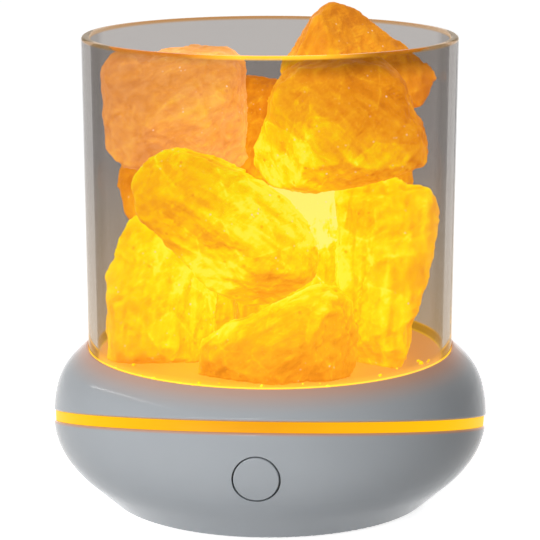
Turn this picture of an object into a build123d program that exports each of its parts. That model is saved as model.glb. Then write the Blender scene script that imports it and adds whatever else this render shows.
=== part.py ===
from build123d import *

import os
from math import cos, radians, sin, tan
from typing import NamedTuple

# Salt night light: a clear tube of salt stones standing in a round moulded base.
# Millimetres, +Z up, origin on the table under the middle of the lamp, button towards -Y.

# Base: a round body with a belly; its section leaves the equator in arcs, each tangent to the next,
# and ends in a straight run down to the foot and in a straight run up to the mouth
foot_proud = 0.6
base_overhang = 7.65
equator_height = 17.9
belly_radius = 14.5
belly_turn = 32.0
heel_radius = 22.0
heel_turn = 16.0
flank_radius = 26.0
flank_turn = 15.0
shoulder_radius = 12.0
shoulder_turn = 31.0
mouth_land = 0.4
shell_wall = 2.2
foot_edge_round = 1.0
slot_edge_round = 0.5

# Glow slot: a tilted gap between the two shells, high at the front, closed by a light ring
slot_tilt = 12.6
slot_height = 16.5
slot_gap = 2.2
ring_recess = 1.5
ring_depth = 2.4
ring_clearance = 0.05
skirt_wall = 1.2
skirt_clearance = 0.15
skirt_drop = 2.0

# Clear tube, its seat in the upper shell and the milky floor inside it
tube_radius = 39.7
tube_length = 71.3
tube_wall = 1.9
tube_draft = 0.48
tube_clearance = 0.15
rim_round = 0.6
seat_height = 29.7
ledge_thickness = 2.0
aperture_margin = 1.0
floor_thickness = 2.0
floor_clearance = 0.15

# Screws that clamp the shells, hidden under the rubber feet
screw_count = 4
first_screw = 45.0
screw_radius = 1.25
screw_head_radius = 2.5
screw_head_height = 2.0
screw_bite = 8.0
screw_clearance = 0.1
boss_radius = 3.75
post_radius = 3.5
boss_height = 10.4
foot_pad_radius = 4.5
foot_pad_recess = 1.0
foot_pad_clearance = 0.1
foot_pad_margin = 3.6
head_cover = 0.4

# Circuit board with the lamps on top, a switch at the front edge and a socket at the rear edge
board_boss_gap = 1.25
board_thickness = 1.6
tongue_width = 13.0
standoff_radius = 2.5
standoff_inset = 4.5
standoff_count = 3
first_standoff = 30.0
board_screw_radius = 0.95
board_screw_head_radius = 1.9
board_screw_head_height = 1.4
board_screw_bite = 5.0
board_hole_clearance = 0.2
led_size = 3.5
led_width = 2.8
led_height = 0.8
led_lens_radius = 1.1
led_lens_height = 0.25
led_inset = 6.5
led_count = 8
chip_length = 4.9
chip_width = 3.9
chip_height = 1.5
chip_setback = 14.5
resistor_length = 1.6
resistor_width = 0.8
resistor_height = 0.5
resistor_pitch_x = 8.4
resistor_pitch_y = 3.0
resistor_rows = 3

# Push button in the front of the lower shell, and the switch that it presses
button_height = 16.1
button_radius = 4.65
button_gap = 0.35
button_edge_round = 0.25
flange_radius = 5.7
flange_gap = 0.3
flange_reach = 3.1
stem_radius = 2.0
stem_length = 1.2
button_travel = 0.5
plunger_radius = 1.3
plunger_reach = 1.8
plunger_depth = 0.9
plunger_clearance = 0.2
switch_width = 6.2
switch_depth = 3.6
switch_stem_height = 2.2
switch_cover = 2.2
board_front_margin = 0.7

# Power socket behind the rear wall, and the opening for the plug's moulding
socket_width = 8.94
socket_height = 3.26
socket_length = 7.3
socket_wall = 0.3
socket_wall_gap = 1.2
socket_back = 1.0
tongue_plate_width = 6.7
tongue_plate_thickness = 0.7
tongue_plate_length = 5.0
plug_opening_width = 13.0
plug_opening_height = 7.2
board_rear_margin = 1.6

# Salt stones: each is drawn by its outline seen from the front, as (x, height above the floor),
# and by how far it reaches to the front and to the back, in steps of one stone unit;
# the pile is drawn for a tube of one inner reach and grows with the tube
stone_unit = 1.0
pile_reach = 37.4
stone_wall_gap = 0.4
stone_floor_gap = 0.1
stone_roundness = 2.4
stone_slices = (-0.85, -0.5, 0.0, 0.5, 0.85)

# Breaks: flat faces where salt has split off a stone, in a fan round its front and one round its back,
# each leaning further than the last, and deep in turn by grades; the fans turn on from stone to stone
break_count = 7
break_depth = 4.2
break_grades = 3
break_lean = 14.0
break_lean_step = 6.5
break_turn = 137.5


class Stone(NamedTuple):
    front: float
    back: float
    stands: bool
    outline: list


stones = {
    "salt_top_left": Stone(-14.6, 15.7, False, [
        (-36, 45), (-32, 40.5), (-15, 37.5), (-5.2, 40.5), (-5, 63),
        (-8, 66), (-18, 67), (-30, 65), (-36.3, 60)]),
    "salt_top_right": Stone(-26.5, 3.5, False, [
        (-3, 43), (0.5, 38.6), (8, 37.5), (16, 38.2), (27, 41.5), (33.2, 43.8), (33.5, 48),
        (32.6, 52.4), (30.4, 54.6), (28.8, 60.6), (24.4, 64.8), (20, 66.3), (7, 65), (2, 60)]),
    "salt_peak": Stone(0.5, 21, False, [
        (3.8, 53), (27.8, 50.4), (33, 52.2), (36, 58.8), (34.2, 62.2), (30, 65.5),
        (16.8, 74.3), (12.2, 75.5), (8, 72.3), (4.3, 66), (1, 60.2)]),
    "salt_front": Stone(-33.3, -12.5, False, [
        (-26.6, 35.1), (-21.6, 29.6), (-11.4, 18.9), (-2, 13), (4.5, 16.8), (10.9, 21.5),
        (12.6, 28), (10.6, 32.4), (4.5, 38.3), (-6, 43.8), (-16.5, 48.4), (-23.6, 45.6), (-26.9, 41)]),
    "salt_lower_left": Stone(-19, 5, True, [
        (-34.4, 0), (-14, 0), (-11.8, 5), (-11.8, 14.8), (-16.9, 29), (-25.4, 33.2),
        (-30.2, 31.5), (-33.5, 28.1), (-34.4, 24.2)]),
    "salt_lower_front": Stone(-33.5, -12.5, True, [
        (-13.2, 0), (19, 0), (20, 2), (19.8, 10), (18.4, 16), (15, 19.3), (11, 19.6),
        (-3.5, 11.9), (-7, 11.6), (-10, 8.6), (-12.8, 7.2), (-13.4, 2)]),
    "salt_lower_right": Stone(-20, 6, True, [
        (18.3, 0), (28, 0), (31.2, 4.8), (31, 11), (33.8, 18), (35.6, 29), (36, 34), (34, 39.3),
        (27.8, 41.2), (20, 39.8), (14.6, 37), (15.2, 17.5)]),
    "salt_core": Stone(2, 22, True, [
        (-6.5, 0), (13.5, 0), (14.5, 15), (14, 33), (10, 36.5), (3.5, 36.4), (-4, 33.5), (-7, 14)]),
    "salt_mid_left": Stone(1, 23, False, [
        (-33.8, 34.6), (-32.5, 28), (-27, 22), (-13, 22.5), (-7, 28), (-8, 37.6),
        (-16, 40.5), (-28, 41.3), (-33.6, 39.2)]),
    "salt_low_back_left": Stone(6, 27, True, [
        (-29, 0), (-8.5, 0), (-8, 9), (-9, 20.5), (-17, 22.6), (-26, 19.2), (-30, 9)]),
    "salt_mid_right": Stone(7, 27, False, [
        (15.2, 30), (17, 23), (26, 21.5), (30.2, 27), (30.8, 40), (28, 48.3), (20.5, 51.6), (15.2, 46.5)]),
    "salt_low_back_right": Stone(7.5, 27, True, [
        (15, 0), (29, 0), (30.2, 6), (29.5, 15), (24, 21.5), (18, 21), (15, 13)]),
    "salt_upper_back": Stone(9.6, 34.6, False, [
        (-15.4, 42.6), (-11.2, 36.8), (-1.8, 35), (5, 40), (5, 50), (0.5, 55.9), (-6.8, 57.4), (-13.4, 54)]),
    "salt_back_left": Stone(10.2, 30.5, False, [
        (-27, 46), (-25, 42), (-20, 39), (-15.4, 43.5), (-14.6, 51), (-17.5, 57), (-23.5, 57), (-27, 52)]),
}

# Heights above the table that follow from the sizes above
shell_bottom = foot_proud
equator_z = shell_bottom + equator_height
mouth_radius = tube_radius + tube_clearance
base_radius = mouth_radius + base_overhang
seat_z = shell_bottom + seat_height
ledge_bottom = seat_z - ledge_thickness
floor_top = seat_z + floor_thickness
rim_z = seat_z + tube_length
boss_top = shell_bottom + boss_height
button_z = shell_bottom + button_height
board_top = button_z - switch_stem_height
board_bottom = board_top - board_thickness
wall_face = base_radius - shell_wall
flange_back = wall_face - flange_reach
stem_end = flange_back - stem_length
switch_face = stem_end - plunger_reach
board_front = switch_face - board_front_margin
socket_mouth = wall_face - socket_wall_gap
socket_z = board_top + socket_height / 2
board_rear = socket_mouth - board_rear_margin
chip_place = board_rear - chip_setback

pile_scale = stone_unit * (tube_radius - tube_wall - stone_wall_gap) / pile_reach

slot_normal = (0, sin(radians(slot_tilt)), cos(radians(slot_tilt)))
slot_plane = Plane(origin=(0, 0, shell_bottom + slot_height), x_dir=(1, 0, 0), z_dir=slot_normal)
slot_top = slot_plane.offset(slot_gap / 2)
slot_bottom = slot_plane.offset(-slot_gap / 2)
slot_axis = Axis(slot_plane.origin, slot_plane.z_dir)
cover_radius = 2 * base_radius


def base_body(inset):
    """The base as a full solid of revolution, drawn in square to its outer skin."""
    equator = (base_radius - inset, equator_z)
    with BuildPart() as body:
        with BuildSketch(Plane.XZ):
            with BuildLine():
                belly = JernArc(equator, (0, -1), belly_radius - inset, -belly_turn)
                heel = JernArc(belly @ 1, belly % 1, heel_radius - inset, -heel_turn)
                flank = JernArc(equator, (0, 1), flank_radius - inset, flank_turn)
                shoulder = JernArc(flank @ 1, flank % 1, shoulder_radius - inset, shoulder_turn)
                fall = (heel @ 1).Y - shell_bottom - inset
                foot = heel @ 1 - heel % 1 * (fall / (heel % 1).Y)
                reach = (shoulder @ 1).X - mouth_radius - mouth_land + inset
                mouth = shoulder @ 1 - shoulder % 1 * (reach / (shoulder % 1).X)
                Polyline(shoulder @ 1, mouth, (0, mouth.Y), (0, foot.Y), foot, heel @ 1)
            make_face()
        revolve(axis=Axis.Z)
    return body.part


def save(builder, name):
    """Label a finished piece and write its file."""
    builder.part.label = name
    export_step(builder.part, f"parts/{name}.step")


os.makedirs("parts", exist_ok=True)

outer_body = base_body(0)
inner_body = base_body(shell_wall)
mouth_z = outer_body.bounding_box().max.Z
inner_floor = inner_body.bounding_box().min.Z

# Circles inside the base, each set in from the one outside it
sole_radius = outer_body.faces().sort_by(Axis.Z)[0].edges()[0].radius
screw_circle = sole_radius - foot_pad_margin - foot_pad_clearance - foot_pad_radius
aperture_radius = screw_circle - post_radius - aperture_margin
board_radius = screw_circle - boss_radius - board_boss_gap
standoff_circle = board_radius - standoff_inset
led_circle = standoff_circle - led_inset

# Upper shell: the shoulder, the collar that holds the tube, and the posts that take the screws
with BuildPart() as cavity:
    with BuildSketch():
        Circle(cover_radius)
    extrude(amount=ledge_bottom)
    add(inner_body, mode=Mode.INTERSECT)

with BuildPart() as upper_shell:
    with BuildSketch(slot_top):
        Circle(cover_radius)
    extrude(amount=cover_radius)
    add(outer_body, mode=Mode.INTERSECT)
    add(cavity.part, mode=Mode.SUBTRACT)
    with BuildSketch(Plane.XY.offset(seat_z)):
        Circle(mouth_radius)
    extrude(amount=mouth_z - seat_z, mode=Mode.SUBTRACT)
    with BuildSketch(Plane.XY.offset(ledge_bottom)):
        Circle(aperture_radius)
    extrude(amount=ledge_thickness, mode=Mode.SUBTRACT)
    with BuildSketch(Plane.XY.offset(boss_top)):
        with PolarLocations(screw_circle, screw_count, first_screw):
            Circle(post_radius)
    extrude(until=Until.NEXT)
    with BuildSketch(Plane.XY.offset(boss_top)):
        with PolarLocations(screw_circle, screw_count, first_screw):
            Circle(screw_radius + screw_clearance / 2)
    extrude(amount=screw_bite + screw_clearance, mode=Mode.SUBTRACT)
    with BuildSketch(Plane.XZ.offset(-board_rear)):
        with Locations((0, socket_z)):
            SlotOverall(plug_opening_width, plug_opening_height)
    extrude(amount=board_rear - base_radius, mode=Mode.SUBTRACT)
    fillet(upper_shell.faces().filter_by(slot_axis)[0].outer_wire().edges(), slot_edge_round)
save(upper_shell, "upper_shell")

# Lower shell: a bowl with screw bosses, board posts, recesses for the feet and the button's hole
recess_top = shell_bottom + foot_pad_recess
head_bottom = recess_top + head_cover
head_seat = head_bottom + screw_head_height

with BuildPart() as lower_shell:
    with BuildSketch(slot_bottom):
        Circle(cover_radius)
    extrude(amount=-cover_radius)
    add(outer_body, mode=Mode.INTERSECT)
    fillet(lower_shell.faces().sort_by(Axis.Z)[0].edges(), foot_edge_round)
    fillet(lower_shell.faces().filter_by(slot_axis)[0].edges(), slot_edge_round)
    add(inner_body, mode=Mode.SUBTRACT)
    with BuildSketch(Plane.XY.offset(recess_top)):
        with PolarLocations(screw_circle, screw_count, first_screw):
            Circle(foot_pad_radius + foot_pad_clearance + shell_wall)
    extrude(amount=shell_wall)
    with BuildSketch(Plane.XY.offset(recess_top)):
        with PolarLocations(screw_circle, screw_count, first_screw):
            Circle(boss_radius)
    extrude(amount=boss_top - recess_top)
    with BuildSketch(Plane.XY.offset(inner_floor)):
        with PolarLocations(standoff_circle, standoff_count, first_standoff):
            Circle(standoff_radius)
    extrude(amount=board_bottom - inner_floor)
    with BuildSketch(Plane.XY.offset(board_bottom)):
        with PolarLocations(standoff_circle, standoff_count, first_standoff):
            Circle(board_screw_radius + screw_clearance / 2)
    extrude(amount=-board_screw_bite - screw_clearance, mode=Mode.SUBTRACT)
    with BuildSketch(Plane.XY.offset(shell_bottom)):
        with PolarLocations(screw_circle, screw_count, first_screw):
            Circle(foot_pad_radius + foot_pad_clearance)
    extrude(amount=foot_pad_recess, mode=Mode.SUBTRACT)
    with BuildSketch(Plane.XY.offset(recess_top)):
        with PolarLocations(screw_circle, screw_count, first_screw):
            Circle(screw_head_radius + screw_clearance)
    extrude(amount=head_seat - recess_top, mode=Mode.SUBTRACT)
    with BuildSketch(Plane.XY.offset(head_seat)):
        with PolarLocations(screw_circle, screw_count, first_screw):
            Circle(screw_radius + screw_clearance)
    extrude(amount=boss_top - head_seat, mode=Mode.SUBTRACT)
    with BuildSketch(Plane.XZ.offset(flange_back)):
        with Locations((0, button_z)):
            Circle(button_radius + button_gap)
    extrude(amount=base_radius - flange_back, mode=Mode.SUBTRACT)
save(lower_shell, "lower_shell")

# Light ring: a band in the slot, set back from the skin, with a skirt inside the lower shell's wall
band_outside = base_body(ring_recess)
band_inside = base_body(ring_recess + ring_depth)
skirt_outside = base_body(shell_wall + skirt_clearance)
skirt_inside = base_body(shell_wall + skirt_clearance + skirt_wall)

with BuildPart() as light_band:
    with BuildSketch(slot_bottom.offset(ring_clearance)):
        Circle(cover_radius)
    extrude(amount=slot_gap - 2 * ring_clearance)
    add(band_outside, mode=Mode.INTERSECT)
    add(band_inside, mode=Mode.SUBTRACT)

with BuildPart() as light_ring:
    with BuildSketch(slot_bottom.offset(-skirt_drop)):
        Circle(cover_radius)
    extrude(amount=skirt_drop + slot_gap / 2)
    add(skirt_outside, mode=Mode.INTERSECT)
    add(skirt_inside, mode=Mode.SUBTRACT)
    add(light_band.part)
save(light_ring, "light_ring")

# Clear tube with a slight draft and a rounded rim, standing on the ledge
tube_flare = tube_length * tan(radians(tube_draft))
with BuildPart() as clear_tube:
    with BuildSketch(Plane.XZ):
        Polygon(
            (tube_radius - tube_wall, seat_z),
            (tube_radius, seat_z),
            (tube_radius + tube_flare, rim_z),
            (tube_radius + tube_flare - tube_wall, rim_z),
            align=None,
        )
    revolve(axis=Axis.Z)
    fillet(clear_tube.faces().sort_by(Axis.Z)[-1].edges(), rim_round)
save(clear_tube, "clear_tube")

# Milky floor that carries the salt and spreads the light
with BuildPart() as floor_diffuser:
    with BuildSketch(Plane.XY.offset(seat_z)):
        Circle(tube_radius - tube_wall - floor_clearance)
    extrude(amount=floor_thickness)
save(floor_diffuser, "floor_diffuser")

# Circuit board: a disc with a tongue to the switch and a tongue to the socket
with BuildPart() as main_board:
    with BuildSketch(Plane.XY.offset(board_bottom)):
        Circle(board_radius)
        with Locations((0, (board_rear - board_front) / 2)):
            Rectangle(tongue_width, board_rear + board_front)
        with PolarLocations(standoff_circle, standoff_count, first_standoff):
            Circle(board_screw_radius + board_hole_clearance, mode=Mode.SUBTRACT)
    extrude(amount=board_thickness)
save(main_board, "main_board")

with BuildPart() as leds:
    with BuildSketch(Plane.XY.offset(board_top)):
        Rectangle(led_size, led_width)
        with PolarLocations(led_circle, led_count):
            Rectangle(led_size, led_width)
    extrude(amount=led_height)
    with BuildSketch(Plane.XY.offset(board_top + led_height)):
        Circle(led_lens_radius)
        with PolarLocations(led_circle, led_count):
            Circle(led_lens_radius)
    extrude(amount=led_lens_height, taper=45)
save(leds, "leds")

with BuildPart() as control_chip:
    with BuildSketch(Plane.XY.offset(board_top)):
        with Locations((0, chip_place)):
            Rectangle(chip_width, chip_length)
    extrude(amount=chip_height)
    chamfer(control_chip.faces().sort_by(Axis.Z)[-1].edges(), chip_height / 6)
save(control_chip, "control_chip")

with BuildPart() as chip_resistors:
    with BuildSketch(Plane.XY.offset(board_top)):
        with Locations((0, chip_place)):
            with GridLocations(resistor_pitch_x, resistor_pitch_y, 2, resistor_rows):
                Rectangle(resistor_length, resistor_width)
    extrude(amount=resistor_height)
save(chip_resistors, "chip_resistors")

with BuildPart() as board_screws:
    with BuildSketch(Plane.XY.offset(board_top)):
        with PolarLocations(standoff_circle, standoff_count, first_standoff):
            Circle(board_screw_head_radius)
    extrude(amount=board_screw_head_height, taper=20)
    with BuildSketch(Plane.XY.offset(board_top)):
        with PolarLocations(standoff_circle, standoff_count, first_standoff):
            Circle(board_screw_radius)
    extrude(amount=-board_thickness - board_screw_bite)
save(board_screws, "board_screws")

with BuildPart() as shell_screws:
    with BuildSketch(Plane.XY.offset(head_bottom)):
        with PolarLocations(screw_circle, screw_count, first_screw):
            Circle(screw_head_radius)
    extrude(amount=screw_head_height)
    chamfer(shell_screws.edges().group_by(Axis.Z)[0], screw_head_height / 4)
    with BuildSketch(Plane.XY.offset(head_seat)):
        with PolarLocations(screw_circle, screw_count, first_screw):
            Circle(screw_radius)
    extrude(amount=boss_top + screw_bite - head_seat)
save(shell_screws, "shell_screws")

with BuildPart() as rubber_feet:
    with BuildSketch():
        with PolarLocations(screw_circle, screw_count, first_screw):
            Circle(foot_pad_radius)
    extrude(amount=recess_top)
    fillet(rubber_feet.edges().group_by(Axis.Z)[0], foot_proud / 2)
save(rubber_feet, "rubber_feet")

# Push button: a cap flush with the skin, a flange behind the wall and a stem to the switch
flange_limit = base_body(shell_wall + flange_gap)

with BuildPart() as button_flange:
    with BuildSketch(Plane.XZ.offset(flange_back)):
        with Locations((0, button_z)):
            Circle(flange_radius)
    extrude(amount=base_radius - flange_back)
    add(flange_limit, mode=Mode.INTERSECT)

with BuildPart() as button_cap:
    with BuildSketch(Plane.XZ.offset(flange_back)):
        with Locations((0, button_z)):
            Circle(button_radius)
    extrude(amount=base_radius - flange_back)
    add(outer_body, mode=Mode.INTERSECT)
    fillet(button_cap.faces().sort_by(Axis.Y)[0].edges(), button_edge_round)
    add(button_flange.part)
    with BuildSketch(Plane.XZ.offset(flange_back)):
        with Locations((0, button_z)):
            Circle(stem_radius)
    extrude(amount=-stem_length)
save(button_cap, "button_cap")

with BuildPart() as switch_plunger:
    with BuildSketch(Plane.XZ.offset(stem_end)):
        with Locations((0, button_z)):
            Circle(plunger_radius)
    extrude(amount=-plunger_reach - plunger_depth)
save(switch_plunger, "switch_plunger")

# Side-push switch on the board's front edge, with a well for its plunger
switch_height = switch_stem_height + switch_cover
with BuildPart() as tact_switch:
    with BuildSketch(Plane.XZ.offset(switch_face)):
        with Locations((0, board_top)):
            Rectangle(switch_width, switch_height, align=(Align.CENTER, Align.MIN))
    extrude(amount=-switch_depth)
    with BuildSketch(Plane.XZ.offset(switch_face)):
        with Locations((0, button_z)):
            Circle(plunger_radius + plunger_clearance)
    extrude(amount=-plunger_depth - button_travel - plunger_clearance, mode=Mode.SUBTRACT)
save(tact_switch, "tact_switch")

# Power socket: an oval metal sleeve open to the rear, with a contact plate inside
with BuildPart() as usb_socket:
    with BuildSketch(Plane.XZ.offset(-socket_mouth)):
        with Locations((0, socket_z)):
            SlotOverall(socket_width, socket_height)
    extrude(amount=socket_length)
    with BuildSketch(Plane.XZ.offset(-socket_mouth)):
        with Locations((0, socket_z)):
            SlotOverall(socket_width - 2 * socket_wall, socket_height - 2 * socket_wall)
    extrude(amount=socket_length - socket_back, mode=Mode.SUBTRACT)
save(usb_socket, "usb_socket")

with BuildPart() as usb_contacts:
    with BuildSketch(Plane.XZ.offset(-socket_mouth + socket_length - socket_back)):
        with Locations((0, socket_z)):
            Rectangle(tongue_plate_width, tongue_plate_thickness)
    extrude(amount=-tongue_plate_length)
save(usb_contacts, "usb_contacts")


# Salt stones: lumps whose cross-section swells from the front to the belly and shrinks again, with breaks
def stone_section(stone, slice_place):
    """One slice of a stone: its plane and the corners of its outline there."""
    middle = Polygon(*stone.outline, align=None).face().center()
    anchor = Vector(middle.X, 0 if stone.stands else middle.Y)
    share = (1 - abs(slice_place) ** stone_roundness) ** (1 / stone_roundness)
    belly = (stone.front + stone.back) / 2
    depth = belly + slice_place * (stone.back - stone.front) / 2
    corners = []
    for point in stone.outline:
        corner = (anchor + (Vector(*point) - anchor) * share) * pile_scale
        corners.append((corner.X, floor_top + stone_floor_gap + corner.Y))
    return Plane.XZ.offset(-depth * pile_scale), corners


def break_plane(body, side, number, turn):
    """The plane of one break, facing out of the stone and set in from the corner that it takes off."""
    lean = radians(break_lean + number * break_lean_step)
    around = radians(number * break_turn + turn)
    outward = Vector(sin(lean) * cos(around), side * cos(lean), sin(lean) * sin(around))
    reach = max(outward.dot(corner.center()) for corner in body.vertices())
    depth = break_depth * (1 + number % break_grades) / break_grades
    return Plane(outward * (reach - depth * pile_scale), z_dir=outward)


for stone_number, (stone_name, stone) in enumerate(stones.items()):
    sections = [stone_section(stone, place) for place in stone_slices]
    with BuildPart() as salt_stone:
        for plane, corners in sections:
            with BuildSketch(plane):
                Polygon(*corners, align=None)
        loft(ruled=True)
        for side in (-1, 1):
            for number in range(break_count):
                turn = stone_number * break_turn * side
                split(bisect_by=break_plane(salt_stone.part, side, number, turn), keep=Keep.BOTTOM)
    save(salt_stone, stone_name)
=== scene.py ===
import math
import random
from typing import NamedTuple

import bmesh
import bpy
from mathutils import Matrix, Vector, noise


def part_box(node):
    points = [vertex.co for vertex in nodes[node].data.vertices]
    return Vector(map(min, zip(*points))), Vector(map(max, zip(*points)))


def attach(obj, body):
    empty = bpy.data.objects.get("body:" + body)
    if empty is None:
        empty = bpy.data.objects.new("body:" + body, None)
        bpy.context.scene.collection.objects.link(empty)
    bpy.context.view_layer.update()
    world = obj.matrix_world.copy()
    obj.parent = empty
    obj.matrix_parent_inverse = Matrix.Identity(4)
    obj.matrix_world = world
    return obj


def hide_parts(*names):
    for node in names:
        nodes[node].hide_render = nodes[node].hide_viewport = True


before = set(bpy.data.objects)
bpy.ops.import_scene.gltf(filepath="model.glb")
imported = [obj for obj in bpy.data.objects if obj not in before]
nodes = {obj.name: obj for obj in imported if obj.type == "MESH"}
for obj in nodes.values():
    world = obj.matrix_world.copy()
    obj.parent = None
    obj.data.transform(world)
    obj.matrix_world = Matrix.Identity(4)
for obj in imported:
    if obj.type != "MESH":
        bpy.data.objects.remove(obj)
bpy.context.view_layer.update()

# Lengths are in metres, in the frame of the solids
MM = 0.001

# Levels and radii of the solids
FLOOR_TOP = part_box("floor_diffuser")[1].z
FLOOR_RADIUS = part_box("floor_diffuser")[1].x
TUBE_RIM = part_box("clear_tube")[1].z
TUBE_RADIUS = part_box("clear_tube")[1].x
SHELL_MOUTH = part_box("upper_shell")[1].z

# The tilted glow slot: a point on its middle plane, the plane's normal, and its gap
SLOT_TILT = math.radians(12.6)
SLOT_NORMAL = Vector((0, math.sin(SLOT_TILT), math.cos(SLOT_TILT)))
SLOT_CENTRE = Vector((0, 0, 17.1 * MM))
SLOT_GAP = 2.2 * MM

# How far the light ring's lit face is drawn out, and the least cosine at which a face counts as outward
RING_FILL = 1.1 * MM
RING_FACING = 0.5

# Camera, fitted to the photograph, with its turns in degrees and its lens in millimetres
CAMERA_PLACE = Vector((30.53, -507.88, 157.0)) * MM
CAMERA_TILT = 78.14
CAMERA_TURN = 3.44
CAMERA_LENS = 158.87

# Studio: its weak even light, and its floor's half width and lift to white
AMBIENT = 0.10
STUDIO_HALF_WIDTH = 3.0
STUDIO_LIFT = 0.86

# The fill lamp's cone, the share of it that is blurred, and the lamp's radius
FILL_SPREAD = math.radians(11)
FILL_BLEND = 0.6
FILL_SOFTNESS = 0.2

# Nearly all of a noise lies between these values
NOISE_LOW = 0.3
NOISE_HIGH = 0.7

# Two places where the light inside the salt is strongest, the distances between which each one's light
# fades, and how much the second adds; what the first adds is a part of each stone's look
GLOW_CENTRE = Vector((1 * MM, -10 * MM, FLOOR_TOP + 31 * MM))
GLOW_FADE = (16 * MM, 50 * MM)
SECOND_GLOW = Vector((-10 * MM, -29 * MM, FLOOR_TOP + 19 * MM))
SECOND_FADE = (3 * MM, 12 * MM)
SECOND_PULL = 0.36

# Sizes of the patterns in the salt, and how many times longer than wide its strands are
CLOUD_SIZE = 15 * MM
CRYSTAL_SIZE = 9 * MM
STREAK_SIZE = 5 * MM
DARK_GRAIN_SIZE = 4.2 * MM
STRAND_SIZE = 2.2 * MM
STRAND_STRETCH = 5
# Size of the cells that hold the salt's painted glints
GLINT_SIZE = 1.7 * MM
PORE_SIZE = 1.2 * MM
PORE_DEPTH = 0.3 * MM

# How much the patterns, edges, cracks and faces add to the salt's light or take from it
CLOUD_SWING = 0.08
STREAK_SWING = 0.05
STRAND_SWING = 0.13
CRYSTAL_SWING = 0.06
EDGE_SWING = 0.13
CRACK_LIGHT = 0.16
FACE_LIGHT = 0.10
FACE_SHADE = -0.14
UNDERSIDE_SHADE = -0.27
DARK_GRAIN_SHADE = -0.22

# The way that the salt's faces in painted light look; faces turned from it get painted shade
SALT_LIT_WAY = Vector((-0.45, -0.55, 0.70))

# Strength of the salt's light inside the tube and near its rim, and the height over which it dims
SALT_STRENGTH = 1.95
DIM_STRENGTH = 0.85
DIM_HEIGHT = 3 * MM

# Colours of salt in painted light, from thick dark parts to those next to the lamps; of milky salt; of
# glints
SALT_LIGHT = [
    (0.0, (0.58, 0.16, 0.003)), (0.25, (0.80, 0.27, 0.006)), (0.45, (0.93, 0.40, 0.01)),
    (0.6, (1.0, 0.53, 0.004)), (0.74, (1.0, 0.70, 0.003)), (0.84, (1.0, 0.84, 0.003)),
    (0.92, (1.0, 0.95, 0.03)), (1.0, (1.0, 1.0, 0.2)),
]
SALT_MILK_AND_LIGHT = (1.0, 0.54, 0.24)
SALT_GLINT = (1.0, 0.78, 0.60)


class Look(NamedTuple):
    """A stone's own painted light at its foot and top, how much the lamps add near them, its milkiness,
    which is partly painted light, its swell in metres, how far below the tube's rim it dims, the most
    light that it shows, and the way that its strands run."""

    foot_glow: float
    top_glow: float
    pull: float = 0.75
    milk_and_light: float = 0.03
    swell: float = 0.6 * MM
    fade: float = 7 * MM
    most: float = 0.93
    strands: Vector = Vector((0.1, 0, 1))


STONES = {
    "salt_top_left": Look(
        -0.05, -0.10, milk_and_light=0.45, swell=0.3 * MM, fade=5.7 * MM, strands=Vector((1, 0, 0.4))
    ),
    "salt_top_right": Look(0.31, -0.04, pull=0.6, strands=Vector((1, 0, -0.9))),
    "salt_peak": Look(0.12, 0.08, milk_and_light=0.06, swell=0.1 * MM, fade=10 * MM),
    "salt_front": Look(0.06, 0.04, pull=0.88, strands=Vector((1, 0, -0.6))),
    "salt_lower_left": Look(0.38, 0.35, pull=0.64),
    "salt_lower_front": Look(0.03, 0.22, strands=Vector((1, 0, 0.5))),
    "salt_lower_right": Look(0.56, 0.42, pull=0.36),
    "salt_core": Look(0.0, 0.50, swell=1.8 * MM, most=1.0),
    "salt_mid_left": Look(-0.05, -0.05),
    "salt_low_back_left": Look(0.35, 0.35),
    "salt_mid_right": Look(0.2, 0.2),
    "salt_low_back_right": Look(0.2, 0.2),
    "salt_upper_back": Look(0.02, -0.28),
    "salt_back_left": Look(0.15, 0.15, milk_and_light=0.2),
}

# Corners drawn out or pressed in on the stones: a place, how far round it the move reaches, and the move
NUDGES = {
    "salt_top_left": [
        (Vector((-33.5, 0, 95)) * MM, 9 * MM, Vector((-0.9, 0, 2.0)) * MM),
        (Vector((-24.5, 0, 98.5)) * MM, 8 * MM, Vector((0, 0, -1.3)) * MM),
        (Vector((-18.5, 0, 99.5)) * MM, 6 * MM, Vector((0, 0, -1.1)) * MM),
    ],
    "salt_lower_left": [(Vector((-29, -12, 61.5)) * MM, 10 * MM, Vector((-2.7, 0, 1.2)) * MM)],
    "salt_upper_back": [(Vector((-4, 18, 68)) * MM, 10 * MM, Vector((0, 0, -3.2)) * MM)],
}

# The stones' mesh: its step, and how far and how often it is smoothed
STONE_VOXEL = 0.65 * MM
SMOOTH_SHARE = 0.5
SMOOTH_ROUNDS = 2

# Relief on the stones: ridges, grain, and broken steps as (size, depth), with a factor that sets cells apart
RIDGE_SIZE = 11.0 * MM
RIDGE_HEIGHT = 0.7 * MM
GRAIN_SIZE = 1.6 * MM
GRAIN_DEPTH = 0.22 * MM
CHIPS = [(7.0 * MM, 1.0 * MM), (3.0 * MM, 0.4 * MM)]
CHIP_SCATTER = 5.7

# Fractals of the ridges and the grain: falloff, step and number of octaves, and the ridges' offset and gain
RIDGE_FRACTAL = (1.0, 2.1, 3, 0.9, 1.0)
GRAIN_FRACTAL = (0.8, 2.0, 3)

# Crumbs: the seed of their draws and their roughness, the directions in degrees and the shares of the
# floor's radius at which they lie, and their radii
CRUMB_SEED = 5
CRUMB_COUNT = 22
CRUMB_TURNS = (200, 350)
CRUMB_REACHES = (0.82, 0.96)
CRUMB_SIZES = (0.15 * MM, 0.5 * MM)
CRUMB_LOOK = Look(0.6, 0.6, pull=0.3)

# How high over the floor a crumb's middle is, and how rough it is, as shares of its radius
CRUMB_LIFT = 0.5
CRUMB_ROUGHNESS = 0.4


def rgba(value):
    """A (red, green, blue) with its alpha; a number or a node's output stays as it is."""
    return (*value, 1.0) if isinstance(value, tuple) else value


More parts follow.
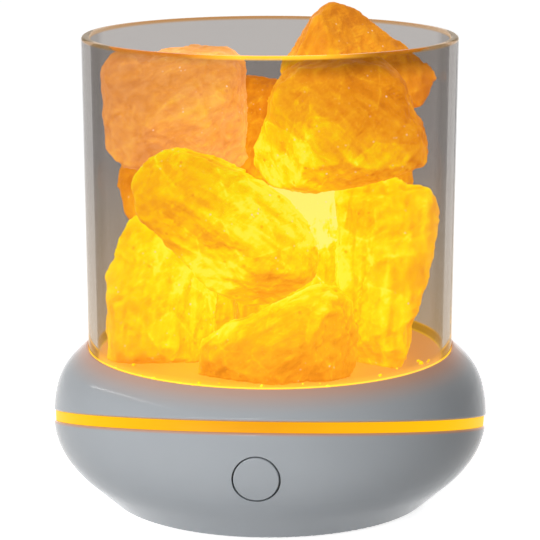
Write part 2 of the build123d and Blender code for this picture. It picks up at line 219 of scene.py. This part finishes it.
class Paint:
    """A material with one Principled shader, and short ways to add the nodes that feed it."""

    def __init__(self, name, **values):
        self.material = bpy.data.materials.new(name)
        self.material.use_nodes = True
        self.tree = self.material.node_tree
        self.shader = self.tree.nodes["Principled BSDF"]
        self.place = self.add("ShaderNodeTexCoord").outputs["Object"]
        self.set(**values)

    def plug(self, node, inputs):
        """Give a node's inputs a value each, or a link where the value is another node's output."""
        for name, value in inputs.items():
            if isinstance(value, bpy.types.NodeSocket):
                self.tree.links.new(value, node.inputs[name])
            else:
                node.inputs[name].default_value = value

    def set(self, **values):
        """Set sockets of the shader; an underscore in a name stands for a space."""
        self.plug(self.shader, {name.replace("_", " "): rgba(value) for name, value in values.items()})

    def add(self, kind, inputs=None, **settings):
        """A new node with its settings and inputs."""
        node = self.tree.nodes.new(kind)
        for name, value in settings.items():
            setattr(node, name, value)
        self.plug(node, inputs or {})
        return node

    def math(self, operation, first, second=0.0):
        """Arithmetic on one or two numbers."""
        return self.add("ShaderNodeMath", {0: first, 1: second}, operation=operation).outputs[0]

    def vector(self, operation, inputs, output="Vector"):
        """Arithmetic on vectors, whose output is a vector or a value."""
        return self.add("ShaderNodeVectorMath", inputs, operation=operation).outputs[output]

    def total(self, first, *others):
        """The sum of several values."""
        for other in others:
            first = self.math("ADD", first, other)
        return first

    def product(self, first, *others):
        """The product of several values."""
        for other in others:
            first = self.math("MULTIPLY", first, other)
        return first

    def stretch(self, value, low, high, to_low=0.0, to_high=1.0):
        """Map a range of values to another, held at both ends."""
        inputs = {"Value": value, "From Min": low, "From Max": high, "To Min": to_low, "To Max": to_high}
        return self.add("ShaderNodeMapRange", inputs).outputs["Result"]

    def spread(self, value, to_low, to_high):
        """Map a noise to a range of values."""
        return self.stretch(value, NOISE_LOW, NOISE_HIGH, to_low, to_high)

    def near_level(self, value, level, reach, peak):
        """Peak within two fifths of that reach from a level, fading to nothing at the reach."""
        away = self.math("ABSOLUTE", self.math("SUBTRACT", value, level))
        return self.stretch(away, 0.4 * reach, reach, peak, 0.0)

    def axis(self, name):
        """One coordinate of the place on the object, in metres."""
        return self.add("ShaderNodeSeparateXYZ", {0: self.place}).outputs[name]

    def distance_from(self, point):
        """How far the place on the object is from a point, in metres."""
        return self.vector("DISTANCE", {0: self.place, 1: point}, "Value")

    def distance_from_axis(self):
        """How far the place on the object is from the lamp's upright axis, in metres."""
        flat = self.vector("MULTIPLY", {0: self.place, 1: (1, 1, 0)})
        return self.vector("LENGTH", {0: flat}, "Value")

    def height_over(self, point, normal):
        """How far the place on the object is above a plane, in metres."""
        arm = self.vector("SUBTRACT", {0: self.place, 1: point})
        return self.vector("DOT_PRODUCT", {0: arm, 1: normal}, "Value")

    def noise(self, size, detail, roughness=0.5, distortion=0.0, place=None):
        """Cloudy noise from 0 to 1 whose lumps are about that size in metres."""
        inputs = {"Vector": self.place if place is None else place, "Scale": 1 / size, "Detail": detail}
        inputs.update({"Roughness": roughness, "Distortion": distortion})
        return self.add("ShaderNodeTexNoise", inputs).outputs["Fac"]

    def strands(self, size, along):
        """Noise of that size in metres with its lumps drawn out along a direction."""
        length = self.vector("DOT_PRODUCT", {0: self.place, 1: along}, "Value")
        share = self.product(length, 1 - 1 / STRAND_STRETCH)
        place = self.vector("SUBTRACT", {0: self.place, 1: self.vector("SCALE", {0: along, "Scale": share})})
        return self.noise(size, detail=4, distortion=0.6, place=place)

    def ragged(self, distance, size, depth):
        """A distance made uneven by noise of that size and depth in metres."""
        return self.total(distance, self.product(self.noise(size, detail=4), depth))

    def cells(self, size, feature="F1", output="Distance"):
        """Cells of about that size in metres."""
        inputs = {"Vector": self.place, "Scale": 1 / size}
        return self.add("ShaderNodeTexVoronoi", inputs, feature=feature).outputs[output]

    def mix(self, factor, first, second):
        """From one colour to another; either is a (red, green, blue) or a node's output."""
        node = self.add("ShaderNodeMix", {"Factor": factor}, data_type="RGBA")
        self.plug(node, {6: rgba(first), 7: rgba(second)})
        return node.outputs[2]

    def ramp(self, value, stops):
        """Colours along a value, as (place, colour) stops."""
        node = self.add("ShaderNodeValToRGB", {"Fac": value})
        elements = node.color_ramp.elements
        while len(elements) < len(stops):
            elements.new(0.5)
        for element, (place, colour) in zip(elements, stops):
            element.position = place
            element.color = rgba(colour)
        return node.outputs["Color"]

    def two_tone(self, value, dark, light):
        """A noise as colours between two."""
        return self.ramp(value, [(NOISE_LOW, dark), (NOISE_HIGH, light)])

    def bump(self, height, depth):
        """Small relief, at most that deep in metres; gives the normals that it leads to."""
        normal = self.add("ShaderNodeBump", {"Height": height, "Distance": depth}).outputs["Normal"]
        self.set(Normal=normal)
        return normal


def dress(material, *names):
    """Put one material on CAD nodes."""
    for name in names:
        nodes[name].data.materials.clear()
        nodes[name].data.materials.append(material)


# Materials


def shell_plastic():
    """Gloss white moulded plastic, faintly cloudy; painted glow from the tube's foot and the slot warms it.
    """
    dark_white = (0.50, 0.535, 0.57)
    light_white = (0.52, 0.555, 0.59)
    glow_white = (0.50, 0.36, 0.30)
    warm_light = (1.0, 0.28, 0.03)
    warm_strength = 0.17
    glow_near_tube_start = TUBE_RADIUS - 0.5 * MM
    glow_near_tube_end = TUBE_RADIUS + 4.2 * MM
    mouth_foot = SHELL_MOUTH - 6 * MM
    mouth_top = SHELL_MOUTH - 1 * MM
    paint = Paint("shell_plastic", IOR=1.2, Specular_IOR_Level=0.6)
    white = paint.two_tone(paint.noise(size=18 * MM, detail=4), dark_white, light_white)
    # Painted glow: warm light from the salt near the tube's foot, and from the slot on both its lips
    glow_near_tube = paint.stretch(paint.distance_from_axis(), glow_near_tube_start, glow_near_tube_end, 1.0, 0.0)
    mouth = paint.product(glow_near_tube, paint.stretch(paint.axis("Z"), mouth_foot, mouth_top))
    level = paint.height_over(SLOT_CENTRE, SLOT_NORMAL)
    lower_lip = paint.near_level(level, -SLOT_GAP / 2, reach=0.7 * MM, peak=1.0)
    upper_lip = paint.near_level(level, SLOT_GAP / 2, reach=0.4 * MM, peak=0.5)
    painted_glow = paint.math("MAXIMUM", mouth, paint.math("MAXIMUM", lower_lip, upper_lip))
    paint.set(Base_Color=paint.mix(painted_glow, white, glow_white))
    paint.set(Emission_Color=warm_light, Emission_Strength=paint.product(painted_glow, warm_strength))
    paint.set(Roughness=paint.spread(paint.noise(size=5 * MM, detail=6), 0.07, 0.12))
    paint.bump(paint.noise(size=9 * MM, detail=2), depth=0.03 * MM)
    return paint.material


def glow_plastic():
    """Frosted ring lit from behind: orange at the middle of the front, yellow to the sides."""
    orange = (0.73, 0.30, 0.001)
    yellow = (0.95, 0.56, 0.002)
    orange_end = 6 * MM
    yellow_start = 46 * MM
    paint = Paint("glow_plastic", Roughness=0.4, Base_Color=(0.3, 0.14, 0.01), Specular_IOR_Level=0.05)
    side = paint.ragged(paint.math("ABSOLUTE", paint.axis("X")), size=2.5 * MM, depth=6 * MM)
    place = paint.stretch(side, orange_end, yellow_start)
    paint.set(Emission_Color=paint.ramp(place, [(0.0, orange), (1.0, yellow)]), Emission_Strength=1.0)
    return paint.material


def clear_plastic():
    """Clear tube with a smoke tint, deeper where it is seen edge on; painted light where its rim and foot
    and the floor's line pipe light, a painted warm glow low down, and a painted glint at the front of the
    rim."""
    pale_smoke = (0.46, 0.435, 0.42)
    deep_smoke = (0.27, 0.25, 0.235)
    # The rim's colour is smoke with a painted glow of piped light in it
    rim_smoke_and_glow = (0.29, 0.15, 0.085)
    piped_light = (1.0, 0.55, 0.03)
    low_glow_strength = 0.09
    rim_strength = 0.13
    rim_start = TUBE_RIM - 0.9 * MM
    rim_full = TUBE_RIM - 0.5 * MM
    skin_start = TUBE_RADIUS - 1.6 * MM
    skin_full = TUBE_RADIUS - 1.3 * MM
    collar_level = (FLOOR_TOP + SHELL_MOUTH) / 2
    low_glow_top = FLOOR_TOP + 45 * MM
    front_full = -0.9 * TUBE_RADIUS
    front_end = -0.6 * TUBE_RADIUS
    glint_side = 4 * MM
    paint = Paint("clear_plastic", IOR=1.06, Transmission_Weight=1.0, Specular_Tint=(0.1, 0.1, 0.1))
    paint.set(Roughness=paint.stretch(paint.noise(size=14 * MM, detail=5), 0.45, 0.75, 0.0, 0.01))
    height = paint.axis("Z")
    rim = paint.stretch(height, rim_start, rim_full)
    edge_on = paint.stretch(paint.add("ShaderNodeLayerWeight").outputs["Facing"], 0.62, 0.72)
    smoke = paint.ramp(edge_on, [(0.0, pale_smoke), (1.0, deep_smoke)])
    paint.set(Base_Color=paint.mix(rim, smoke, rim_smoke_and_glow))
    # Painted light: a line at the tube's foot outside, a line at the floor and a band up to the shell's
    # mouth inside, a warm glow low down, and a glow with a glint at the front along the rim
    outside = paint.stretch(paint.distance_from_axis(), skin_start, skin_full)
    inside = paint.math("SUBTRACT", 1.0, outside)
    foot = paint.product(paint.near_level(height, SHELL_MOUTH, reach=0.4 * MM, peak=0.75), outside)
    line = paint.near_level(height, FLOOR_TOP, reach=0.5 * MM, peak=0.6)
    collar = paint.near_level(height, collar_level, reach=1.7 * MM, peak=0.34)
    inner_glow = paint.product(paint.total(line, collar), inside)
    low_glow = paint.stretch(height, FLOOR_TOP, low_glow_top, low_glow_strength, 0.0)
    front = paint.stretch(paint.axis("Y"), front_full, front_end, 1.0, 0.0)
    glint = paint.product(paint.near_level(paint.axis("X"), glint_side, reach=20 * MM, peak=0.7), front)
    piped = paint.product(rim, paint.total(glint, rim_strength))
    paint.set(Emission_Color=piped_light, Emission_Strength=paint.total(foot, inner_glow, low_glow, piped))
    return paint.material


def floor_plastic():
    """Milky floor lit from below and by the salt, brightest round the stones at the front."""
    glow_place = (-8 * MM, -18 * MM, FLOOR_TOP)
    bright_reach = 14 * MM
    dull_reach = 46 * MM
    stops = [(0.0, (1.0, 0.58, 0.03)), (0.5, (1.0, 0.46, 0.05)), (1.0, (0.54, 0.24, 0.09))]
    paint = Paint("floor_plastic", Roughness=0.5, Base_Color=(0.5, 0.3, 0.16), Emission_Strength=1.2)
    reach = paint.ragged(paint.distance_from(glow_place), size=6 * MM, depth=6 * MM)
    paint.set(Emission_Color=paint.ramp(paint.stretch(reach, bright_reach, dull_reach), stops))
    return paint.material


def salt(name, look):
    """Salt in painted light: bright near the lamps, in flat crystals with cracks, glints, dark grains, light
    on its edges and shade in its hollows.
    """
    dark_base = (0.20, 0.07, 0.003)
    light_base = (0.30, 0.13, 0.008)
    paint = Paint(name, Roughness=0.35, IOR=1.54, Specular_IOR_Level=0.04)
    lowest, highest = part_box(name)
    height = paint.axis("Z")
    cloud = paint.noise(CLOUD_SIZE, detail=4, distortion=0.8)
    streak = paint.noise(STREAK_SIZE, detail=6, roughness=0.65, distortion=2.0)
    strand = paint.strands(STRAND_SIZE, look.strands.normalized())
    crystal = paint.add("ShaderNodeSeparateColor", {0: paint.cells(CRYSTAL_SIZE, output="Color")})
    crack = paint.stretch(paint.cells(CRYSTAL_SIZE, feature="DISTANCE_TO_EDGE"), 0.0, 0.04, 1.0, 0.0)
    pores = paint.bump(paint.noise(PORE_SIZE, detail=4, roughness=0.6), PORE_DEPTH)
    # Painted light and shade on the salt's faces, by which way their bumped normals turn
    painted_face_light = paint.vector("DOT_PRODUCT", {0: pores, 1: SALT_LIT_WAY}, "Value")
    shape = paint.add("ShaderNodeNewGeometry")
    slope = paint.add("ShaderNodeSeparateXYZ", {0: shape.outputs["Normal"]}).outputs["Z"]
    # Painted light in the salt: glow near two centres and from foot to top, light in cracks and on edges,
    # painted shade in hollows and on undersides, painted light and shade on faces, with patterns and dark
    # grains
    light = paint.total(
        paint.stretch(paint.distance_from(GLOW_CENTRE), *GLOW_FADE, look.pull, 0.0),
        paint.stretch(paint.distance_from(SECOND_GLOW), *SECOND_FADE, SECOND_PULL, 0.0),
        paint.stretch(height, lowest.z, highest.z, look.foot_glow, look.top_glow),
        paint.spread(cloud, -CLOUD_SWING, CLOUD_SWING),
        paint.spread(streak, -STREAK_SWING, STREAK_SWING),
        paint.spread(strand, -STRAND_SWING, STRAND_SWING),
        paint.stretch(crystal.outputs["Red"], 0.0, 1.0, -CRYSTAL_SWING, CRYSTAL_SWING),
        paint.product(crack, paint.stretch(streak, 0.45, 0.6, 0.0, CRACK_LIGHT)),
        paint.stretch(shape.outputs["Pointiness"], 0.46, 0.56, -EDGE_SWING, EDGE_SWING),
        paint.stretch(slope, -0.8, -0.2, UNDERSIDE_SHADE, 0.0),
        paint.stretch(painted_face_light, -0.2, 1.0, FACE_SHADE, FACE_LIGHT),
        paint.stretch(paint.cells(DARK_GRAIN_SIZE), 0.05, 0.12, DARK_GRAIN_SHADE, 0.0),
    )
    lit = paint.ramp(paint.math("MINIMUM", light, look.most), SALT_LIGHT)
    # Milkiness, partly the salt's own and partly painted light, stronger where the streaks are high
    milk_and_light = paint.product(paint.stretch(streak, 0.35, 0.65, 0.5, 1.0), look.milk_and_light)
    # Painted glints: pale sparks in small cells where the cloud and the strands are high
    speck_and_glint = paint.product(
        paint.stretch(paint.cells(GLINT_SIZE), 0.09, 0.16, 0.85, 0.0),
        paint.stretch(cloud, 0.47, 0.57),
        paint.stretch(strand, 0.45, 0.6),
    )
    paint.set(Emission_Color=paint.mix(speck_and_glint, paint.mix(milk_and_light, lit, SALT_MILK_AND_LIGHT), SALT_GLINT))
    dim = TUBE_RIM - look.fade
    paint.set(Emission_Strength=paint.stretch(height, dim, dim + DIM_HEIGHT, SALT_STRENGTH, DIM_STRENGTH))
    paint.set(Base_Color=paint.two_tone(cloud, dark_base, light_base))
    return paint.material


def grained(paint, pattern, stops, roughness, depth):
    """A material whose colour, roughness and relief all follow one pattern."""
    paint.set(Base_Color=paint.ramp(pattern, stops), Roughness=paint.spread(pattern, *roughness))
    paint.bump(pattern, depth)
    return paint.material


def foot_rubber():
    """Dull black rubber."""
    stops = [(0.35, (0.018, 0.018, 0.02)), (0.7, (0.035, 0.035, 0.037))]
    paint = Paint("foot_rubber", IOR=1.5)
    speck_and_glint = paint.noise(size=0.8 * MM, detail=5)
    return grained(paint, speck_and_glint, stops, roughness=(0.7, 0.9), depth=0.05 * MM)


def steel():
    """Bright steel with a fine, uneven brushing."""
    stops = [(0.3, (0.50, 0.50, 0.49)), (0.7, (0.66, 0.66, 0.64))]
    paint = Paint("screw_steel", Metallic=1.0)
    brush = paint.noise(size=0.6 * MM, detail=6, distortion=1.5)
    return grained(paint, brush, stops, roughness=(0.2, 0.4), depth=0.02 * MM)


def board_laminate():
    """Green laminate with a weave."""
    stops = [(0.2, (0.004, 0.05, 0.016)), (0.8, (0.008, 0.085, 0.03))]
    paint = Paint("board_laminate", Roughness=0.35, IOR=1.5)
    weave = paint.cells(size=0.9 * MM)
    paint.set(Base_Color=paint.ramp(weave, stops))
    paint.bump(weave, depth=0.03 * MM)
    return paint.material


def chip_plastic():
    """Black moulded plastic with a fine speckle."""
    stops = [(0.35, (0.004, 0.004, 0.004)), (0.7, (0.012, 0.012, 0.012))]
    paint = Paint("chip_plastic", IOR=1.5)
    speck_and_glint = paint.noise(size=0.5 * MM, detail=5)
    return grained(paint, speck_and_glint, stops, roughness=(0.45, 0.65), depth=0.03 * MM)


def led_package():
    """A lit lamp with a grainy amber cover."""
    deep_amber = (1.0, 0.5, 0.08)
    pale_amber = (1.0, 0.62, 0.16)
    paint = Paint("led_package", Roughness=0.3, Base_Color=(0.9, 0.6, 0.2), Emission_Strength=1.5)
    grain = paint.noise(size=0.6 * MM, detail=4)
    paint.set(Emission_Color=paint.two_tone(grain, deep_amber, pale_amber))
    return paint.material


# Pieces


def add_object(name, data):
    """A new object in the scene."""
    thing = bpy.data.objects.new(name, data)
    bpy.context.scene.collection.objects.link(thing)
    return thing


def mesh_from(shape, name):
    """A mesh from a bmesh, which is freed."""
    mesh = bpy.data.meshes.new(name)
    shape.to_mesh(mesh)
    shape.free()
    return mesh


def remeshed(source):
    """The same closed form as an even, fine mesh of its own."""
    stone = add_object("remesh", source.data.copy())
    even = stone.modifiers.new("even", "REMESH")
    even.mode = "VOXEL"
    even.voxel_size = STONE_VOXEL
    soften = stone.modifiers.new("soften", "SMOOTH")
    soften.factor = SMOOTH_SHARE
    soften.iterations = SMOOTH_ROUNDS
    graph = bpy.context.evaluated_depsgraph_get()
    mesh = bpy.data.meshes.new_from_object(stone.evaluated_get(graph))
    bpy.data.objects.remove(stone)
    return mesh


def chip_depth(point):
    """How deep the broken steps and the grain lie at a point of the surface, below its ridges."""
    depth = -RIDGE_HEIGHT * noise.ridged_multi_fractal(point / RIDGE_SIZE, *RIDGE_FRACTAL)
    for size, cut in CHIPS:
        _, corners = noise.voronoi(point / size)
        painted_face_light = noise.cell_vector(corners[0] * CHIP_SCATTER) * 2 - Vector((1, 1, 1))
        depth += cut * (0.5 + 0.5 * (point / size - corners[0]).dot(painted_face_light))
    return depth + GRAIN_DEPTH * noise.fractal(point / GRAIN_SIZE, *GRAIN_FRACTAL)


def make_stone(name):
    """A rough stone that stands for one CAD stone."""
    look = STONES[name]
    mesh = remeshed(nodes[name])
    normals = [vertex.normal.copy() for vertex in mesh.vertices]
    for vertex, normal in zip(mesh.vertices, normals):
        vertex.co += normal * (look.swell - chip_depth(vertex.co))
        for place, reach, move in NUDGES.get(name, []):
            share = max(0.0, 1 - ((vertex.co - place).length / reach) ** 2)
            vertex.co += move * share ** 2
        vertex.co.z = max(vertex.co.z, FLOOR_TOP)
    mesh.shade_smooth()
    mesh.materials.clear()
    mesh.materials.append(salt(name, look))
    stone = add_object(name + "_rough", mesh)
    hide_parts(name)
    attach(stone, "lamp")


def make_crumbs():
    """Crumbs of salt that lie on the floor near the front of the tube."""
    draw = random.Random(CRUMB_SEED)
    noise.seed_set(CRUMB_SEED)
    shape = bmesh.new()
    for _ in range(CRUMB_COUNT):
        turn = math.radians(draw.uniform(*CRUMB_TURNS))
        reach = draw.uniform(*CRUMB_REACHES) * FLOOR_RADIUS
        size = draw.uniform(*CRUMB_SIZES)
        place = Vector((reach * math.cos(turn), reach * math.sin(turn), FLOOR_TOP + CRUMB_LIFT * size))
        spot = Matrix.Translation(place)
        ball = bmesh.ops.create_icosphere(shape, subdivisions=2, radius=size, matrix=spot)
        for vertex in ball["verts"]:
            vertex.co += noise.noise_vector(vertex.co / size) * CRUMB_ROUGHNESS * size
            vertex.co.z = max(vertex.co.z, FLOOR_TOP)
    mesh = mesh_from(shape, "salt_crumbs")
    mesh.materials.append(salt("salt_lower_left", CRUMB_LOOK))
    crumbs = add_object("salt_crumbs", mesh)
    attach(crumbs, "lamp")


def spot_key(place):
    """A place to a thousandth of a millimetre, which is the same for all vertices that meet there."""
    return tuple(round(value / MM, 3) for value in place)


def drawn_out(place):
    """A place on the ring's lit face, moved outwards along the slot."""
    out = Vector((place.x, place.y, 0)).normalized()
    out -= SLOT_NORMAL * out.dot(SLOT_NORMAL)
    return place + out.normalized() * RING_FILL


def make_ring(material):
    """The light ring with its lit face drawn out until it almost fills the slot."""
    mesh = nodes["light_ring"].data.copy()
    moved = {}
    for polygon in mesh.polygons:
        outward = Vector((polygon.center.x, polygon.center.y, 0)).normalized()
        level = (polygon.center - SLOT_CENTRE).dot(SLOT_NORMAL)
        if abs(level) > SLOT_GAP / 2 or polygon.normal.dot(outward) < RING_FACING:
            continue
        for index in polygon.vertices:
            place = mesh.vertices[index].co
            moved[spot_key(place)] = drawn_out(place)
    for vertex in mesh.vertices:
        vertex.co = moved.get(spot_key(vertex.co), vertex.co)
    mesh.materials.clear()
    mesh.materials.append(material)
    ring = add_object("light_ring_lens", mesh)
    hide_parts("light_ring")
    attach(ring, "lamp")


# Lights, studio floor and camera


def add_light(name, place, target, size, power, along=None):
    """A soft rectangular lamp that faces a point; its longer side is level, or runs along a direction."""
    data = bpy.data.lights.new(name, "AREA")
    data.shape = "RECTANGLE"
    data.size, data.size_y = size
    data.energy = power
    back = (Vector(place) - Vector(target)).normalized()
    side = Vector(along) if along else Vector((0, 0, 1)).cross(back)
    side = (side - back * side.dot(back)).normalized()
    turned = Matrix((side, back.cross(side), back)).transposed()
    lamp = add_object(name, data)
    lamp.matrix_world = Matrix.Translation(place) @ turned.to_4x4()


def add_fill(name, place, target, power):
    """A weak soft spot on the part's far side, which isn't seen in gloss or glass."""
    data = bpy.data.lights.new(name, "SPOT")
    data.energy = power
    data.spot_size = FILL_SPREAD
    data.spot_blend = FILL_BLEND
    data.shadow_soft_size = FILL_SOFTNESS
    lamp = add_object(name, data)
    lamp.location = place
    lamp.rotation_euler = (Vector(place) - Vector(target)).to_track_quat("Z", "Y").to_euler()
    lamp.visible_camera = False
    lamp.visible_glossy = False
    lamp.visible_transmission = False


def seen_directly(tree):
    """1 for rays from the camera, also by way of gloss or glass, and 0 for rays that carry light."""
    path = tree.nodes.new("ShaderNodeLightPath")
    seen = path.outputs["Is Camera Ray"]
    for ray in ("Is Glossy Ray", "Is Transmission Ray"):
        largest = tree.nodes.new("ShaderNodeMath")
        largest.operation = "MAXIMUM"
        tree.links.new(seen, largest.inputs[0])
        tree.links.new(path.outputs[ray], largest.inputs[1])
        seen = largest.outputs[0]
    return seen


def add_world():
    """White where it is seen, and a weak even light elsewhere."""
    world = bpy.data.worlds.new("studio")
    world.use_nodes = True
    tree = world.node_tree
    background = tree.nodes["Background"]
    background.inputs["Color"].default_value = (1, 1, 1, 1)
    level = tree.nodes.new("ShaderNodeMapRange")
    level.inputs["To Min"].default_value = AMBIENT
    level.inputs["To Max"].default_value = 1.0
    tree.links.new(seen_directly(tree), level.inputs["Value"])
    tree.links.new(level.outputs["Result"], background.inputs["Strength"])
    bpy.context.scene.world = world


def add_studio_floor():
    """A pale floor, lifted to white where it is seen, that keeps the lamp's shadow."""
    shape = bmesh.new()
    bmesh.ops.create_grid(shape, x_segments=1, y_segments=1, size=STUDIO_HALF_WIDTH)
    mesh = mesh_from(shape, "studio_floor")
    paint = Paint("studio_floor", Base_Color=(0.75, 0.75, 0.75), Roughness=0.9)
    lift = paint.product(seen_directly(paint.tree), STUDIO_LIFT)
    paint.set(Emission_Color=(1.0, 1.0, 1.0), Emission_Strength=lift)
    mesh.materials.append(paint.material)
    floor = add_object("studio_floor", mesh)


def add_camera():
    """The camera, placed as it was for the photograph."""
    camera = add_object("camera", bpy.data.cameras.new("camera"))
    camera.location = CAMERA_PLACE
    camera.rotation_euler = (math.radians(CAMERA_TILT), 0, math.radians(CAMERA_TURN))
    camera.data.lens = CAMERA_LENS
    bpy.context.scene.camera = camera


bpy.context.scene.view_settings.view_transform = "Standard"
add_camera()
add_world()
add_studio_floor()

# A broad lamp at the left of the front, a thin one for the line on the shoulder, and a weak one behind
add_light("key", place=(-0.45, -0.95, 0.52), target=(0, 0, 0.05), size=(0.9, 0.25), power=8.2)
add_light(
    "strip", place=(-0.68, 0.1, 0.60), target=(0, 0, 0.03), size=(0.9, 0.012), power=0.4,
    along=(0.2, -0.81, 0.37),
)
add_fill("back", place=(0.50, 1.5, 0.40), target=(0, 0, 0.05), power=85.0)

dress(shell_plastic(), "upper_shell", "lower_shell", "button_cap")
make_ring(glow_plastic())
dress(clear_plastic(), "clear_tube")
dress(floor_plastic(), "floor_diffuser")
dress(foot_rubber(), "rubber_feet")
dress(steel(), "board_screws", "shell_screws", "usb_socket")
dress(board_laminate(), "main_board")
dress(chip_plastic(), "control_chip", "chip_resistors", "tact_switch", "switch_plunger", "usb_contacts")
dress(led_package(), "leds")

for stone_name in STONES:
    make_stone(stone_name)
make_crumbs()
